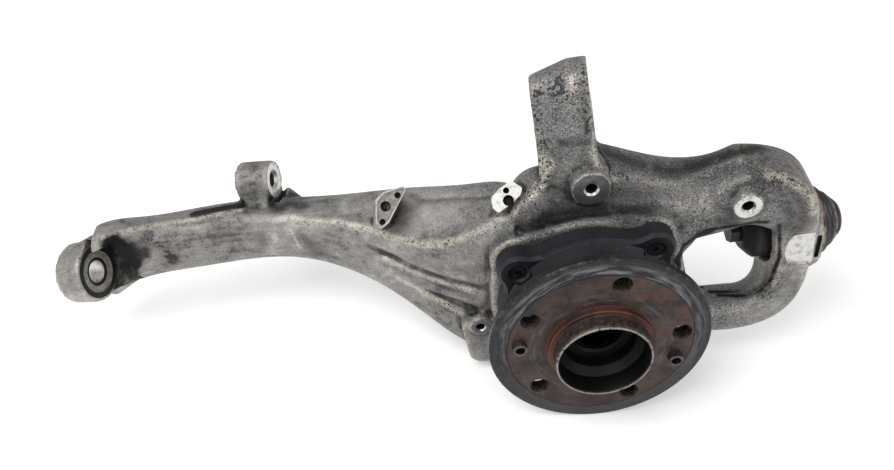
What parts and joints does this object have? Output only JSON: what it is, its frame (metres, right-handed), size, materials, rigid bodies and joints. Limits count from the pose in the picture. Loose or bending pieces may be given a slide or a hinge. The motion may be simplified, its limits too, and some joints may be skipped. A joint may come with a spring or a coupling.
{
  "type": "steering knuckle",
  "caption": "Cast aluminium front steering knuckle with a tall neck, steering arm, flanged wheel bearing hub and sealed lower ball joint.",
  "frame": {"origin": "centre of the hub's wheel face, on the wheel axis", "axes": "-Y points outwards along the wheel axis; -X runs up the neck to the upper ball joint; +Z is the steering-arm side"},
  "size_m": [0.6231, 0.2007, 0.2662],
  "materials": {
    "cast_aluminium": "as cast, weathered",
    "rusted_hub_steel": "turned, rusted",
    "blackened_steel": "dark, oiled",
    "bearing_steel": "ground",
    "bolt_steel": "dark zinc",
    "sleeve_steel": "turned",
    "clamp_steel": "dull, light rust",
    "rubber": "matt",
    "liner_plastic": "moulded",
    "cage_plastic": "moulded",
    "seal_rubber": "moulded"
  },
  "bodies": {
    "knuckle": {"knuckle_casting": "cast_aluminium", "bearing_outer_ring": "blackened_steel", "outboard_balls": "bearing_steel", "inboard_balls": "bearing_steel", "outboard_cage": "cage_plastic", "inboard_cage": "cage_plastic", "front_seal": "seal_rubber", "rear_seal": "seal_rubber", "bearing_bolts": "bolt_steel", "ball_joint_housing": "blackened_steel", "ball_joint_liner": "liner_plastic", "ball_joint_closer": "clamp_steel", "joint_boot": "rubber", "boot_clamp_large": "clamp_steel"},
    "hub": {"wheel_hub": "rusted_hub_steel", "bearing_inner_ring": "bearing_steel", "encoder_ring": "bearing_steel", "disc_sleeves": "sleeve_steel"},
    "stud": {"ball_stud": "sleeve_steel", "boot_clamp_small": "clamp_steel"}
  },
  "joints": [
    {"name": "hub_spin", "type": "hinge", "parent": "knuckle", "child": "hub", "pos_m": [0, 0, 0], "axis": [0, 1, 0], "continuous": true},
    {"name": "ball_stud_tilt", "type": "hinge", "parent": "knuckle", "child": "stud", "pos_m": [0.168, 0.0987, 0.0257], "axis": [0, 1, 0], "range_deg": [-18, 18], "deforming": ["joint_boot"]}
  ]
}
